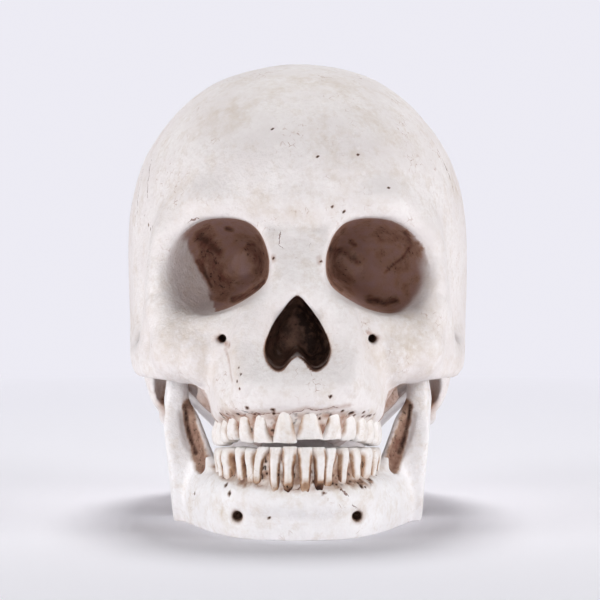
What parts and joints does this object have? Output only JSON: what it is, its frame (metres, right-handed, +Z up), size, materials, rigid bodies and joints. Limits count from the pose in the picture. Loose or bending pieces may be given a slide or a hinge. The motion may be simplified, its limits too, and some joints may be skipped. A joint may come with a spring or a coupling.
{
  "type": "decorative skull",
  "caption": "Life-size decorative skull in resin with set-in teeth and a lower jaw that opens on two hinge pins.",
  "frame": {"origin": "on the table under the middle of the skull's box", "axes": "+Z up, +X to the right of someone who faces the skull, the face looks along -Y"},
  "size_m": [0.14, 0.2059, 0.18],
  "materials": {
    "bone_resin": "matte aged off-white",
    "tooth_resin": "satin ivory",
    "pin_steel": "satin"
  },
  "bodies": {
    "head": {"cranium": "bone_resin", "upper_left_1_incisor": "tooth_resin", "upper_left_2_incisor": "tooth_resin", "upper_left_3_canine": "tooth_resin", "upper_left_4_premolar": "tooth_resin", "upper_left_5_premolar": "tooth_resin", "upper_left_6_molar": "tooth_resin", "upper_left_7_molar": "tooth_resin", "upper_right_1_incisor": "tooth_resin", "upper_right_2_incisor": "tooth_resin", "upper_right_3_canine": "tooth_resin", "upper_right_4_premolar": "tooth_resin", "upper_right_5_premolar": "tooth_resin", "upper_right_6_molar": "tooth_resin", "upper_right_7_molar": "tooth_resin", "hinge_pin_left": "pin_steel", "hinge_pin_right": "pin_steel"},
    "lower_jaw": {"mandible": "bone_resin", "lower_left_1_incisor": "tooth_resin", "lower_left_2_incisor": "tooth_resin", "lower_left_3_canine": "tooth_resin", "lower_left_4_premolar": "tooth_resin", "lower_left_5_premolar": "tooth_resin", "lower_left_6_molar": "tooth_resin", "lower_left_7_molar": "tooth_resin", "lower_left_8_molar": "tooth_resin", "lower_right_1_incisor": "tooth_resin", "lower_right_2_incisor": "tooth_resin", "lower_right_3_canine": "tooth_resin", "lower_right_4_premolar": "tooth_resin", "lower_right_5_premolar": "tooth_resin", "lower_right_6_molar": "tooth_resin", "lower_right_7_molar": "tooth_resin", "lower_right_8_molar": "tooth_resin"}
  },
  "joints": [
    {"name": "jaw_hinge", "type": "hinge", "parent": "head", "child": "lower_jaw", "pos_m": [0, 0, 0.06], "axis": [1, 0, 0], "range_deg": [0, 15]}
  ]
}
